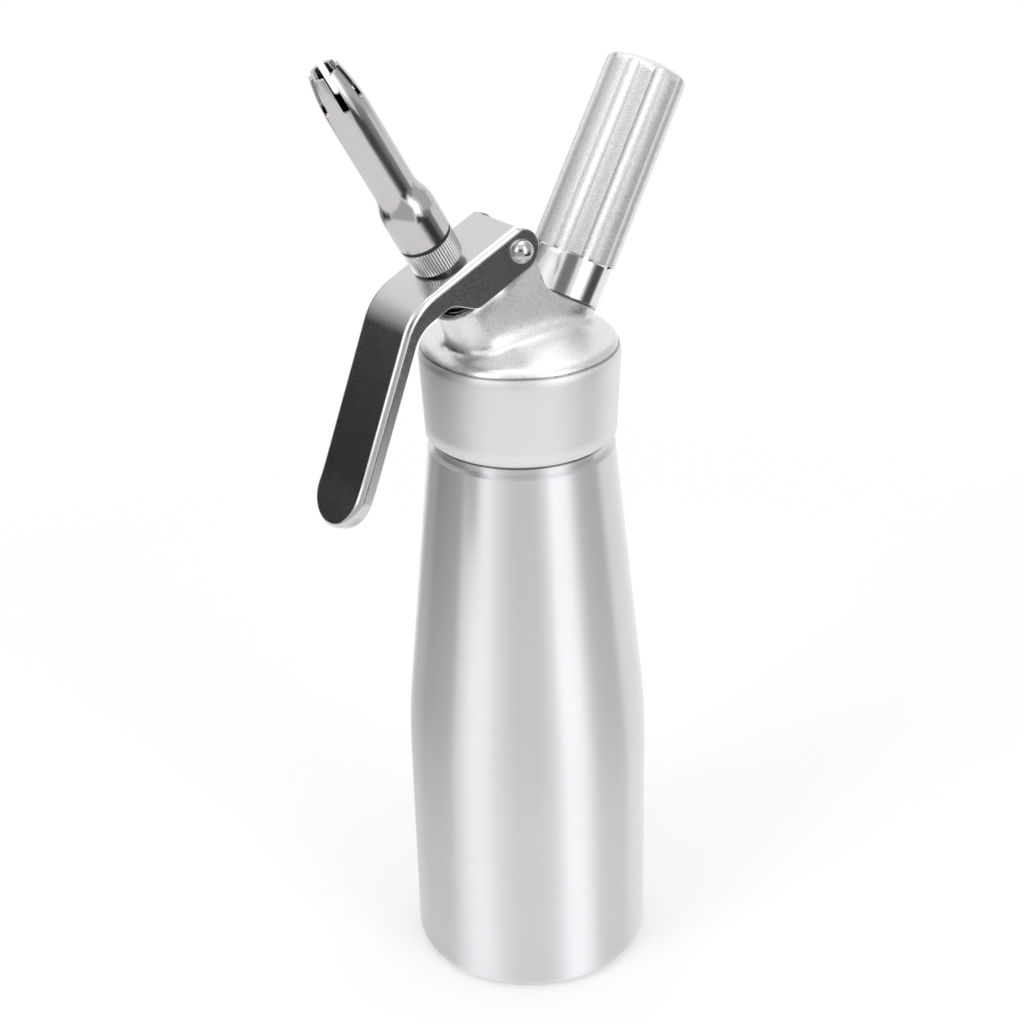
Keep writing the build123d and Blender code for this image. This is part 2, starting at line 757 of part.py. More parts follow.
# Decorator tip: base, flare, slender tube and a nose parted into petals
base_t = tip_t + tip_base_h
flare_t = base_t + tip_flare_h
nose_t = tip_top - nose_h
flare_mid = (tip_base_r + tube_r) / 2
tip_socket_r = spigot_r + tip_socket_gap
tip_socket_t = spigot_top + tip_socket_deep
with BuildPart() as decorator_tip:
    with BuildSketch(nozzle_side):
        with BuildLine():
            base_line = Polyline(
                (tip_socket_r, tip_t),
                (tip_base_r - tip_edge, tip_t),
                (tip_base_r, tip_t + tip_edge),
                (tip_base_r, base_t),
            )
            flare_out = TangentArc(base_line @ 1, (flare_mid, (base_t + flare_t) / 2), tangent=(0, 1))
            flare_in = TangentArc(flare_out @ 1, (tube_r, flare_t), tangent=flare_out % 1)
            tube_line = Line(flare_in @ 1, (tube_r, nose_t))
            nose_line = TangentArc(tube_line @ 1, (nose_r, tip_top), tangent=(0, 1))
            lip = Line(nose_line @ 1, (nose_r - tip_wall, tip_top))
            bore_nose = TangentArc((tube_r - tip_wall, nose_t), lip @ 1, tangent=(0, 1))
            Polyline(
                bore_nose @ 0,
                (tube_r - tip_wall, tip_socket_t),
                (tip_socket_r, tip_socket_t),
                (tip_socket_r, tip_t),
            )
        make_face()
    revolve(axis=nozzle_axis)
    for pair in range(slot_pairs):
        way = around(nozzle_across, slot_turn + 180 * pair / slot_pairs)
        start = nozzle_side.from_local_coords(Vector(0, tip_top - slot_h + slot_w / 2, 0))
        with BuildSketch(Plane(origin=start, x_dir=nozzle_axis.direction, z_dir=way)):
            Circle(slot_w / 2)
            with Locations((slot_h / 2, 0)):
                Rectangle(slot_h, slot_w)
        extrude(amount=tip_base_r, both=True, mode=Mode.SUBTRACT)
decorator_tip.part.label = "decorator_tip"
export_step(decorator_tip.part, "parts/decorator_tip.step")

# Piercing insert: flange, shank and the nipple with its gas holes
gas_out_t = nipple_from + nipple_h / 2
with BuildPart() as piercing_body:
    with BuildSketch(charger_side):
        with BuildLine():
            Polyline(
                (0, nipple_from),
                (nipple_r + nipple_bead, nipple_from),
                (nipple_r + nipple_bead, nipple_from + bead_h),
                (nipple_r, nipple_from + bead_h),
                (nipple_r, shank_from),
                (insert_r, shank_from),
                (insert_r, flange_from),
                (neck_socket_r - insert_gap, flange_from),
                (neck_socket_r - insert_gap, washer_from),
                (needle_r, washer_from),
                (needle_r, washer_from - needle_seat),
                (gas_r, washer_from - needle_seat),
                (gas_r, gas_out_t),
                (0, gas_out_t),
                close=True,
            )
        make_face()
    revolve(axis=charger_axis)
    gas_out = charger_side.from_local_coords(Vector(0, gas_out_t, 0))
    with BuildSketch(Plane(origin=gas_out, x_dir=charger_axis.direction, z_dir=(0, -1, 0))):
        Circle(gas_cross_r)
    extrude(amount=nipple_r + nipple_bead, both=True, mode=Mode.SUBTRACT)
piercing_body.part.label = "piercing_body"
export_step(piercing_body.part, "parts/piercing_body.step")

# Hollow needle that opens the charger
needle_top = washer_from + needle_h
with BuildPart() as piercing_pin:
    with BuildSketch(charger_side):
        with BuildLine():
            Polyline(
                (needle_bore_r, washer_from - needle_seat),
                (needle_r, washer_from - needle_seat),
                (needle_r, needle_top - needle_point),
                (needle_bore_r, needle_top),
                close=True,
            )
        make_face()
    revolve(axis=charger_axis)
piercing_pin.part.label = "piercing_pin"
export_step(piercing_pin.part, "parts/piercing_pin.step")

# Rubber washer under the charger's neck
with BuildPart() as charger_seal:
    with BuildSketch(charger_across.offset(washer_from)):
        Circle(neck_socket_r - insert_gap)
        Circle(needle_r + washer_hole, mode=Mode.SUBTRACT)
    extrude(amount=washer_t)
charger_seal.part.label = "charger_seal"
export_step(charger_seal.part, "parts/charger_seal.step")

# Rubber sleeve over the nipple's gas holes
with BuildPart() as check_sleeve:
    with BuildSketch(charger_across.offset(nipple_from + bead_h)):
        Circle(nipple_r + sleeve_t)
        Circle(nipple_r, mode=Mode.SUBTRACT)
    extrude(amount=sleeve_h)
check_sleeve.part.label = "check_sleeve"
export_step(check_sleeve.part, "parts/check_sleeve.step")

# Charger holder: polished collar, tapered grip with flutes, domed crown and the charger's bore
crown_t = holder_top - crown_h
grip_deg = degrees(atan2(grip_r - grip_top_r, crown_t - collar_top))
land_sag = grip_r - sqrt(grip_r**2 - (flute_w / 2) ** 2)
flute_r = ((flute_w / 2) ** 2 + (flute_deep - land_sag) ** 2) / (2 * (flute_deep - land_sag))
flute_at = grip_r - flute_deep + flute_r
flute_from = collar_top - flute_low + sqrt(flute_r**2 - (flute_at - collar_out_r) ** 2)
with BuildPart() as charger_holder:
    with BuildSketch(charger_side):
        with BuildLine():
            collar_line = Polyline(
                (0, holder_t),
                (collar_out_r - mouth_edge, holder_t),
                (collar_out_r, holder_t + mouth_edge),
                (collar_out_r, collar_top - grip_edge),
                (grip_r, collar_top),
                (grip_top_r, crown_t),
            )
            crown_turn = JernArc(collar_line @ 1, collar_line % 1, crown_round, 60 - grip_deg)
            crown_line = TangentArc((0, holder_top), crown_turn @ 1, tangent=(1, 0))
            Line(crown_line @ 0, (0, holder_t))
        make_face()
    revolve(axis=charger_axis)
    for flute in range(flutes):
        outward = around(charger_across, flute_turn + 360 * flute / flutes)
        up_grip = charger_across.z_dir * cos(radians(grip_deg)) - outward * sin(radians(grip_deg))
        flute_end = Plane(
            origin=charger_across.origin + charger_across.z_dir * flute_from + outward * flute_at,
            x_dir=outward.cross(up_grip),
            z_dir=up_grip,
        )
        with BuildSketch(flute_end):
            Circle(flute_r)
        extrude(amount=holder_h, mode=Mode.SUBTRACT)
        with Locations(flute_end):
            Sphere(flute_r, mode=Mode.SUBTRACT)
    bore_end = holder_socket_t + charger_h
    with BuildSketch(charger_side):
        with BuildLine():
            bore_line = Polyline(
                (0, bore_end),
                (0, holder_t),
                (holder_socket_r, holder_t),
                (holder_socket_r, holder_socket_t),
                (charger_r, holder_socket_t),
                (charger_r, bore_end - charger_round),
            )
            bore_turn = JernArc(bore_line @ 1, bore_line % 1, charger_round, 90)
            Line(bore_turn @ 1, bore_line @ 0)
        make_face()
    revolve(axis=charger_axis, mode=Mode.SUBTRACT)
charger_holder.part.label = "charger_holder"
export_step(charger_holder.part, "parts/charger_holder.step")
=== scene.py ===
from math import cos, pi, radians, sin

import bmesh
import bpy
from mathutils import Euler, Matrix, Vector
from mathutils.bvhtree import BVHTree


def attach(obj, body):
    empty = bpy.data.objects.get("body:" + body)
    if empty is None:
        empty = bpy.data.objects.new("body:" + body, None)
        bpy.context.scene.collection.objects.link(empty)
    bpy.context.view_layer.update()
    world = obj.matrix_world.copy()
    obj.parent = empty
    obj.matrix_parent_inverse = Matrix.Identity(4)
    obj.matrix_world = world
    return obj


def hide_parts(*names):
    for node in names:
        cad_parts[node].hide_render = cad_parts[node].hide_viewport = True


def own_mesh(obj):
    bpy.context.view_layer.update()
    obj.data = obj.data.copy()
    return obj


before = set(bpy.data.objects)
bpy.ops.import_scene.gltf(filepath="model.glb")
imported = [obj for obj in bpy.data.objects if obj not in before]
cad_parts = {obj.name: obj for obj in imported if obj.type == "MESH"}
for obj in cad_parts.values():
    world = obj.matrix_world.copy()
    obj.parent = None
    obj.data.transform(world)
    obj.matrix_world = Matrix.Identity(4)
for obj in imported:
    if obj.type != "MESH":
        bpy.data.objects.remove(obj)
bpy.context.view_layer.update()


# Bottle: the vessel, drawn from one piece of aluminium, with a thread turned on its neck.
# A belt has brushed it, so that fine lines run round it.
class Value:
    # An output of a shader node; sums with it add their own Math nodes
    def __init__(self, nodes, socket):
        self.nodes = nodes
        self.socket = socket

    def sum(self, operation, *sources):
        return self.nodes.node("ShaderNodeMath", {"operation": operation}, dict(enumerate(sources)))

    def __add__(self, other):
        return self.sum("ADD", self, other)

    __radd__ = __add__

    def __sub__(self, other):
        return self.sum("SUBTRACT", self, other)

    def __rsub__(self, other):
        return self.sum("SUBTRACT", other, self)

    def __mul__(self, other):
        return self.sum("MULTIPLY", self, other)

    __rmul__ = __mul__

    def __abs__(self):
        return self.sum("ABSOLUTE", self)

    def either(self, other):
        # The stronger of two masks
        return self.sum("MAXIMUM", self, other)


class Nodes:
    # A tree of shader nodes, which grows as nodes are made and wired
    def __init__(self, tree):
        self.tree = tree

    def node(self, kind, settings, sockets, output=0):
        made = self.tree.nodes.new(kind)
        for name, setting in settings.items():
            setattr(made, name, setting)
        self.wire(made, sockets)
        return Value(self, made.outputs[output])

    def wire(self, made, sockets):
        for name, source in sockets.items():
            if isinstance(source, Value):
                self.tree.links.new(source.socket, made.inputs[name])
            else:
                made.inputs[name].default_value = source


class Finish(Nodes):
    # A surface of the whipper or of the studio, whose brushing lies round the upright axis
    def __init__(self, name, metallic=1.0, anisotropic=0.0):
        self.material = bpy.data.materials.new(name)
        self.material.use_nodes = True
        super().__init__(self.material.node_tree)
        self.shader = self.tree.nodes["Principled BSDF"]
        brushing = {"Anisotropic": anisotropic, "Anisotropic Rotation": 0.25}
        self.wire(self.shader, {"Metallic": metallic, **brushing})
        self.place = self.node("ShaderNodeTexCoord", {}, {}, "Object")

    def mapped(self, scale=(1, 1, 1), lean=0.0, start=0.0):
        # The place on the piece, seen from an axis that leans in the plane of symmetry
        turn = (0, -lean, 0)
        spot = Euler(turn).to_matrix() @ Vector((0, 0, start))
        sockets = {"Vector": self.place, "Rotation": turn, "Location": -spot}
        upright_place = self.node("ShaderNodeMapping", {}, sockets)
        return self.node("ShaderNodeMapping", {}, {"Vector": upright_place, "Scale": scale})

    def along(self, where, axis="Z"):
        return self.node("ShaderNodeSeparateXYZ", {}, {"Vector": where}, axis)

    def length(self, where):
        return self.node("ShaderNodeVectorMath", {"operation": "LENGTH"}, {0: where}, "Value")

    def noise(self, where, scale=1.0, detail=2.0, roughness=0.5):
        sockets = {"Vector": where, "Scale": scale, "Detail": detail, "Roughness": roughness}
        return self.node("ShaderNodeTexNoise", {}, sockets)

    def between(self, value, low, high, out_low=0.0, out_high=1.0):
        # Eases a value from one range into another
        sockets = {"Value": value, "From Min": low, "From Max": high, "To Min": out_low, "To Max": out_high}
        return self.node("ShaderNodeMapRange", {"interpolation_type": "SMOOTHSTEP"}, sockets)

    def varied(self, noise, out_low, out_high):
        # Spreads the middle of a noise over a range
        return self.between(noise, 0.3, 0.7, out_low, out_high)

    def line(self, height, middle, dark, clear):
        # 1 on a line at a height, fading to 0 between two distances from it
        return self.between(abs(height - middle), dark, clear, 1.0, 0.0)

    def mix(self, share, first, second):
        # Sockets 6 and 7 of a Mix node are its two colours, and output 2 is what they make
        sockets = {"Factor": share}
        for name, colour in ((6, first), (7, second)):
            sockets[name] = (*colour, 1) if isinstance(colour, tuple) else colour
        return self.node("ShaderNodeMix", {"data_type": "RGBA"}, sockets, 2)

    def relief(self, height, strength, distance):
        return self.node("ShaderNodeBump", {}, {"Height": height, "Strength": strength, "Distance": distance})

    def show(self, **sockets):
        self.wire(self.shader, {name.replace("_", " "): source for name, source in sockets.items()})

    def beyond(self, mask, other):
        # A second surface on the same piece, which takes over where the mask is 1
        first = Value(self, self.shader.outputs[0])
        both = self.node("ShaderNodeMixShader", {}, {0: mask, 1: first, 2: other})
        self.wire(self.tree.nodes["Material Output"], {"Surface": both})


def dress(node, finish):
    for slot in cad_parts[node].material_slots:
        slot.material = finish.material


scene = bpy.context.scene
weld = 1e-6
sharp_angle = radians(40)


def put(name, shape):
    # Puts a modelled shape into the scene
    made = bpy.data.objects.new(name, bpy.data.meshes.new(name))
    shape.to_mesh(made.data)
    shape.free()
    scene.collection.objects.link(made)
    return made


def finished(name, shape, body, slot, finish, *nodes):
    # Makes a modelled shape a piece of the whipper, which rides on its body
    bmesh.ops.remove_doubles(shape, verts=shape.verts, dist=weld)
    bmesh.ops.recalc_face_normals(shape, faces=shape.faces)
    piece = put(name, shape)
    piece.data.shade_smooth()
    piece.data.set_sharp_from_angle(angle=sharp_angle)
    piece.data.materials.append(finish.material)
    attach(piece, body)
    if nodes:
        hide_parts(*nodes)
    return piece


def stand(lean, start):
    # The frame of an axis that starts on the bottle's axis and leans in the plane of symmetry
    return Matrix.Translation((0, 0, start)) @ Euler((0, lean, 0)).to_matrix().to_4x4()


def tipped(turn):
    # Turns the Z axis over, about the X axis
    return Euler((turn, 0, 0)).to_matrix().to_4x4()


def section(shape, radius, height, sides, out, along):
    # A flat section beside the Z axis: its middle's radius and height, then its reach out and along the axis
    made = bmesh.ops.create_circle(shape, cap_ends=True, segments=sides, radius=1.0)["verts"]
    place = Matrix.Translation((radius, 0, height)) @ Matrix.Diagonal((out, 1, along, 1)) @ tipped(pi / 2)
    bmesh.ops.transform(shape, matrix=place, verts=made)
    face = made[0].link_faces[0]
    return [*face.verts, *face.edges, face]


around = {"cent": (0, 0, 0), "axis": (0, 0, 1)}
turn_steps = 72


def wind(shape, geom, turns, rise):
    # Winds a section round the Z axis, with so much rise in a turn, and gives back its end
    steps = round(turn_steps * turns)
    sweep = {"angle": 2 * pi * turns, "dvec": Vector((0, 0, rise * turns / steps))}
    wound = bmesh.ops.spin(shape, geom=geom, **around, **sweep, steps=steps, use_merge=False)
    return wound["geom_last"]


upright = stand(0, 0)
thread_height = 0.00025
crest_share = 0.36


def thread(radius, low, high, pitch, place):
    # A fine thread, whose crests stand up from a plain shank
    shape = bmesh.new()
    crest = section(shape, radius, low, sides=4, out=thread_height, along=crest_share * pitch)
    wind(shape, crest, (high - low) / pitch, pitch)
    bmesh.ops.transform(shape, matrix=place, verts=shape.verts)
    return shape


brush_scale, cloud_scale = (40, 40, 3000), (14, 14, 22)
brush_dark, brush_light, neck_painted_shade = (0.81, 0.798, 0.822), (0.93, 0.918, 0.944), (0.22, 0.22, 0.22)
neck_shade_z = 0.1922
lines_share = 0.7
bottle_finish = Finish("brushed_bottle", anisotropic=1.0)
bottle_lines = bottle_finish.noise(bottle_finish.mapped(brush_scale), detail=3.0, roughness=0.6)
bottle_clouds = bottle_finish.noise(bottle_finish.mapped(cloud_scale))
bottle_height = bottle_finish.along(bottle_finish.place)
# Painted shade: the neck band is painted dark in the gap just under the head's skirt.
bottle_painted_shade = bottle_finish.line(bottle_height, neck_shade_z, dark=0.0004, clear=0.0008)
bottle_bright = bottle_finish.mix(bottle_lines, brush_dark, brush_light)
bottle_wear = bottle_lines * lines_share + bottle_clouds * (1 - lines_share)
bottle_finish.show(
    Base_Color=bottle_finish.mix(bottle_painted_shade, bottle_bright, neck_painted_shade),
    Roughness=bottle_finish.between(bottle_wear, 0.25, 0.75, 0.38, 0.46),
    Normal=bottle_finish.relief(bottle_lines, strength=0.16, distance=0.0001),
)
dress("bottle", bottle_finish)
thread_dark, thread_light = (0.64, 0.635, 0.645), (0.74, 0.735, 0.745)
thread_finish = Finish("turned_thread")
thread_lines = thread_finish.noise(thread_finish.mapped(brush_scale))
thread_finish.show(
    Base_Color=thread_finish.mix(thread_lines, thread_dark, thread_light),
    Roughness=thread_finish.varied(thread_lines, 0.22, 0.30),
)
neck_thread = thread(radius=0.0276, low=0.1966, high=0.2108, pitch=0.0025, place=upright)
finished("neck_thread", neck_thread, "bottle", "bottle_aluminium", thread_finish)

# Head: an aluminium casting, blasted to an even grain, whose flanks flow into its dome in a broad hollow.
# Its skirt is then turned on the lathe, up to the crease. Painted shade darkens the crease, and the top of
# the charger's boss round the holder's foot.
charger_lean, charger_start = radians(30), 0.2066
charger_place = stand(charger_lean, charger_start)
nozzle_lean, nozzle_start = radians(-30), 0.2043
nozzle_place = stand(nozzle_lean, nozzle_start)
crease_z, crease_half = 0.2223, 0.0001
boss_top, web_edge, boss_edge = 0.0316, -0.0118, -0.0108
turned_scale, blast_scale = (30, 30, 2600), 2300.0
skirt_bright, skirt_painted_shade = (0.84, 0.84, 0.845), (0.42, 0.42, 0.42)
cast_dark, cast_light, cast_painted_shade = (0.72, 0.72, 0.725), (0.88, 0.88, 0.885), (0.30, 0.30, 0.30)
head_finish = Finish("cast_head", anisotropic=0.2)
head_lines = head_finish.noise(head_finish.mapped(turned_scale), detail=3.0, roughness=0.6)
head_grain = head_finish.noise(head_finish.place, scale=blast_scale, detail=0.0)
head_height = head_finish.along(head_finish.place)
# Painted shade: a dark line is painted along the crease, on the skirt and on the casting.
crease_painted_shade = head_finish.line(head_height, crease_z, dark=0.0001, clear=0.0007)
head_finish.show(
    Base_Color=head_finish.mix(crease_painted_shade, skirt_bright, skirt_painted_shade),
    Roughness=head_finish.varied(head_lines, 0.48, 0.56),
    Normal=head_finish.relief(head_lines, strength=0.12, distance=0.0001),
)
boss_place = head_finish.mapped(lean=charger_lean, start=charger_start)
boss_side = head_finish.between(head_finish.along(boss_place, "X"), web_edge, boss_edge)
# Painted shade: a dark ring is painted on top of the charger's boss, round the holder's foot, beyond the web.
boss_painted_shade = head_finish.line(head_finish.along(boss_place), boss_top, dark=0.0002, clear=0.0005) * boss_side
head_bright = head_finish.mix(head_finish.between(head_grain, 0.2, 0.8), cast_dark, cast_light)
head_painted_shade = crease_painted_shade.either(boss_painted_shade)
blasted_sockets = {
    "Base Color": head_finish.mix(head_painted_shade, head_bright, cast_painted_shade),
    "Metallic": 1.0,
    "Roughness": head_finish.varied(head_grain, 0.30, 0.38),
    "Normal": head_finish.relief(head_grain, strength=0.16, distance=0.0002),
}
head_finish.beyond(
    head_finish.between(head_height, crease_z - crease_half, crease_z + crease_half),
    head_finish.node("ShaderNodeBsdfPrincipled", {}, blasted_sockets),
)


def merged(node):
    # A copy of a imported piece's mesh, with its loose triangles joined
    shape = bmesh.new()
    shape.from_mesh(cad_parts[node].data)
    bmesh.ops.remove_doubles(shape, verts=shape.verts, dist=weld)
    return shape


def join(shape, other):
    # Puts another shape into this one
    carrier = bpy.data.meshes.new("carrier")
    other.to_mesh(carrier)
    other.free()
    shape.from_mesh(carrier)
    bpy.data.meshes.remove(carrier)


def cut(shape, height, above):
    # Keeps what lies above or below a height, closed on the cut
    level = {"plane_co": (0, 0, height), "plane_no": (0, 0, 1)}
    whole = [*shape.verts, *shape.edges, *shape.faces]
    bmesh.ops.bisect_plane(shape, geom=whole, **level, clear_inner=above, clear_outer=not above)
    rims = [edge for edge in shape.edges if edge.is_boundary]
    bmesh.ops.triangle_fill(shape, edges=rims, normal=(0, 0, 1), use_beauty=True)


def reskinned(shape, size):
    # The same shape under an even skin of small faces, made on a carrier that is then removed
    carrier = put("carrier", shape)
    skin = carrier.modifiers.new("skin", "REMESH")
    skin.mode = "VOXEL"
    skin.voxel_size = size
    skinned = carrier.evaluated_get(bpy.context.evaluated_depsgraph_get())
    even_mesh = bpy.data.meshes.new_from_object(skinned)
    bpy.data.meshes.remove(carrier.data)
    fresh = bmesh.new()
    fresh.from_mesh(even_mesh)
    bpy.data.meshes.remove(even_mesh)
    return fresh


flow_border = 0.003
dome_r, dome_low = 0.0278, 0.2232
valve_rim, charger_rim = 0.0475, 0.0300
core_r, core_y = 0.0088, 0.003


def flowing(spot):
    # 1 on the casting's flanks and feet, falling to 0 towards the crease, the bosses' rims and the bores
    on_nozzle = nozzle_place.inverted() @ spot
    on_charger = charger_place.inverted() @ spot
    inside = min(
        dome_r - spot.xy.length,
        spot.z - dome_low,
        valve_rim - on_nozzle.z,
        charger_rim - on_charger.z,
        abs(spot.y) - core_y,
        on_nozzle.xy.length - core_r,
        on_charger.xy.length - core_r,
    )
    return min(max(inside / flow_border, 0.0), 1.0)


skin_size = 0.0005
passes = 140
all_axes = {"use_axis_x": True, "use_axis_y": True, "use_axis_z": True}
skirt_top, skirt_lap = 0.22225, 0.00002
turned = merged("head")
machined = BVHTree.FromBMesh(turned)
casting = reskinned(turned.copy(), skin_size)
flow = [(flowing(vert.co), vert) for vert in casting.verts]
for share, vert in flow:
    if share == 0:
        vert.co = machined.find_nearest(vert.co)[0]
for step in range(passes):
    softened = [vert for share, vert in flow if share > step / passes]
    bmesh.ops.smooth_vert(casting, verts=softened, factor=0.5, **all_axes)
cut(casting, skirt_top - skirt_lap, above=True)
cut(turned, skirt_top, above=False)
join(casting, turned)
finished("cast_body", casting, "head", "cast_aluminium", head_finish, "head")
stub_thread = thread(radius=0.0108, low=0.0336, high=0.0397, pitch=0.0015, place=charger_place)
finished("stub_thread", stub_thread, "head", "cast_aluminium", head_finish)

# Gasket: a flat ring of red silicone, pressed into the head.
# The bottle's rim closes on it when the head is screwed down.
gasket_dark, gasket_light = (0.42, 0.03, 0.025), (0.5, 0.05, 0.035)
gasket_finish = Finish("red_silicone", metallic=0.0)
gasket_mottle = gasket_finish.noise(gasket_finish.place, scale=400.0)
gasket_finish.show(
    Base_Color=gasket_finish.mix(gasket_mottle, gasket_dark, gasket_light),
    Roughness=gasket_finish.varied(gasket_mottle, 0.42, 0.55),
)
ring_steps = 96
corner_angle = radians(60)


def revolve(shape, geom, steps):
    # Turns a section once round the Z axis and closes it
    bmesh.ops.spin(shape, geom=geom, **around, angle=2 * pi, steps=steps, use_merge=True)


def ease(shape, edge):
    # Rounds every sharp edge of a shape
    sharp = [rim for rim in shape.edges if rim.calc_face_angle(0) > corner_angle]
    rounding = {"segments": 3, "profile": 0.5, "affect": "EDGES", "material": -1}
    bmesh.ops.bevel(shape, geom=sharp, offset=edge, offset_type="OFFSET", **rounding)


def ring(bore, outside, low, high, edge, place):
    # A flat ring round an axis, with its edges eased
    shape = bmesh.new()
    outline = ((bore, low), (outside, low), (outside, high), (bore, high))
    corners = [shape.verts.new((radius, 0, height)) for radius, height in outline]
    sides = [shape.edges.new((corners[i - 1], corners[i])) for i in range(len(corners))]
    revolve(shape, corners + sides, ring_steps)
    bmesh.ops.remove_doubles(shape, verts=shape.verts, dist=weld)
    bmesh.ops.recalc_face_normals(shape, faces=shape.faces)
    ease(shape, edge)
    bmesh.ops.transform(shape, matrix=place, verts=shape.verts)
    return shape


gasket = ring(bore=0.0237, outside=0.0276, low=0.2130, high=0.2150, edge=0.0003, place=upright)
finished("gasket_ring", gasket, "head", "silicone", gasket_finish, "head_gasket")

# Gas inlet: a brass body screwed into the charger's boss, with a steel pin that pierces the charger.
# A black washer seals the charger's neck and a rubber sleeve lets the gas in only.
lathe_scale = (60, 60, 4000)
brass_dark, brass_light = (0.70, 0.50, 0.22), (0.80, 0.60, 0.30)
brass_finish = Finish("turned_brass")
brass_lines = brass_finish.noise(brass_finish.mapped(lathe_scale, charger_lean))
brass_finish.show(
    Base_Color=brass_finish.mix(brass_lines, brass_dark, brass_light),
    Roughness=brass_finish.varied(brass_lines, 0.2, 0.32),
)
dress("piercing_body", brass_finish)
steel_dark, steel_light = (0.60, 0.60, 0.60), (0.70, 0.70, 0.695)
valve_finish = Finish("turned_steel")
valve_lines = valve_finish.noise(valve_finish.mapped(lathe_scale, nozzle_lean))
valve_finish.show(
    Base_Color=valve_finish.mix(valve_lines, steel_dark, steel_light),
    Roughness=valve_finish.varied(valve_lines, 0.18, 0.3),
)
dress("piercing_pin", valve_finish)
rubber_dark, rubber_light = (0.012, 0.012, 0.012), (0.022, 0.022, 0.022)
rubber_finish = Finish("black_rubber", metallic=0.0)
rubber_mottle = rubber_finish.noise(rubber_finish.place, scale=900.0)
rubber_finish.show(
    Base_Color=rubber_finish.mix(rubber_mottle, rubber_dark, rubber_light),
    Roughness=rubber_finish.varied(rubber_mottle, 0.45, 0.62),
)
washer = ring(bore=0.0013, outside=0.0049, low=0.0345, high=0.0367, edge=0.00025, place=charger_place)
finished("charger_washer", washer, "head", "black_rubber", rubber_finish, "charger_seal")
sleeve = ring(bore=0.0026, outside=0.0038, low=0.010473, high=0.015273, edge=0.00025, place=charger_place)
finished("gas_sleeve", sleeve, "head", "black_rubber", rubber_finish, "check_sleeve")

# Valve: a hollow steel stem in a brass bush, pushed open by the lever and shut by its spring.
# A slotted cap holds the rubber disc on the stem's tail, and a ring seals the stem in the bush.
dress("valve_stem", valve_finish)
dress("valve_cap", valve_finish)
dress("valve_bush", brass_finish)
disc = ring(bore=0.0030, outside=0.0076, low=0.017838, high=0.020438, edge=0.0004, place=nozzle_place)
finished("valve_disc", disc, "valve", "black_rubber", rubber_finish, "valve_seal")
stem_ring_r, stem_ring_at, stem_cord_r = 0.00375, 0.027238, 0.00075
stem_ring = bmesh.new()
stem_cord = section(stem_ring, stem_ring_r, stem_ring_at, sides=16, out=stem_cord_r, along=stem_cord_r)
*stem_loop, stem_cap = stem_cord
bmesh.ops.delete(stem_ring, geom=[stem_cap], context="FACES_ONLY")
revolve(stem_ring, stem_loop, turn_steps)
bmesh.ops.transform(stem_ring, matrix=nozzle_place, verts=stem_ring.verts)
finished("stem_ring", stem_ring, "valve", "black_rubber", rubber_finish, "stem_o_ring")

# Valve spring: a round steel wire, coiled with a closed turn at each end.
# It stands between the bush's flange and the cup, and is drawn at one length, though it is shorter while the
# lever is pressed.
spring_low, spring_high = 0.0299382, 0.0392
wire_r = 0.0005
coil_r = 0.0056
end_gap_share = 0.04
end_rise = (1 + end_gap_share) * 2 * wire_r
middle_turns = 3.5
middle_rise = (spring_high - spring_low - 2 * wire_r - 2 * end_rise) / middle_turns
coil = bmesh.new()
coil_end = section(coil, coil_r, spring_low + wire_r, sides=12, out=wire_r, along=wire_r)
for turns, rise in ((1.0, end_rise), (middle_turns, middle_rise), (1.0, end_rise)):
    coil_end = wind(coil, coil_end, turns, rise)
bmesh.ops.transform(coil, matrix=nozzle_place, verts=coil.verts)
spring = finished("spring_coil", coil, "head", "valve_steel", valve_finish, "valve_spring")
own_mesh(spring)

# Lever: a channel pressed from stainless sheet, bent down into the handle.
# It was polished after pressing, and a faint haze is left on its flat faces.
haze_dark, haze_light = (0.62, 0.615, 0.61), (0.66, 0.655, 0.65)
lever_finish = Finish("polished_lever")
lever_haze = lever_finish.noise(lever_finish.place, scale=90.0, detail=3.0)
lever_grain = lever_finish.noise(lever_finish.place, scale=1800.0, detail=1.0)
lever_finish.show(
    Base_Color=lever_finish.mix(lever_haze, haze_dark, haze_light),
    Roughness=lever_finish.varied(lever_grain, 0.19, 0.25),
    Normal=lever_finish.relief(lever_grain, strength=0.06, distance=0.0001),
)
flat_angle = radians(0.2)
sheet_edge = 0.0004
pressing = merged("lever")
bmesh.ops.dissolve_limit(pressing, angle_limit=flat_angle, verts=pressing.verts, edges=pressing.edges)
ease(pressing, sheet_edge)
lever_piece = finished("pressed_lever", pressing, "lever", "lever_steel", lever_finish, "lever")
even_shade = lever_piece.modifiers.new("even", "WEIGHTED_NORMAL")
even_shade.keep_sharp = True

# Pin, spring cup, knurled ring and tip: bright parts of polished stainless steel.
# The pin is riveted in the lever's cheeks, and the tip screws on the ring's spigot.
# A black washer lies between ring and tip.
polish_dark, polish_light = (0.545, 0.53, 0.52), (0.595, 0.58, 0.57)
polish_finish = Finish("polished_steel")
polish_smears = polish_finish.noise(polish_finish.place, scale=60.0, detail=3.0)
polish_finish.show(
    Base_Color=polish_finish.mix(polish_smears, polish_dark, polish_light),
    Roughness=polish_finish.varied(polish_smears, 0.14, 0.18),
)
dress("spring_cup", polish_finish)
dress("decorator_tip", polish_finish)
knurl_root_r, knurl_crest_r = 0.00772, 0.00808
knurl_groove_shade, knurl_crest_highlight = (0.36, 0.355, 0.35), (0.97, 0.96, 0.95)
knurl_finish = Finish("knurled_steel")
knurl_reach = knurl_finish.length(knurl_finish.mapped((1, 1, 0), nozzle_lean, nozzle_start))
knurl_smears = knurl_finish.noise(knurl_finish.place, scale=300.0)
knurl_highlight_spread = 0.85 + knurl_smears * 0.3
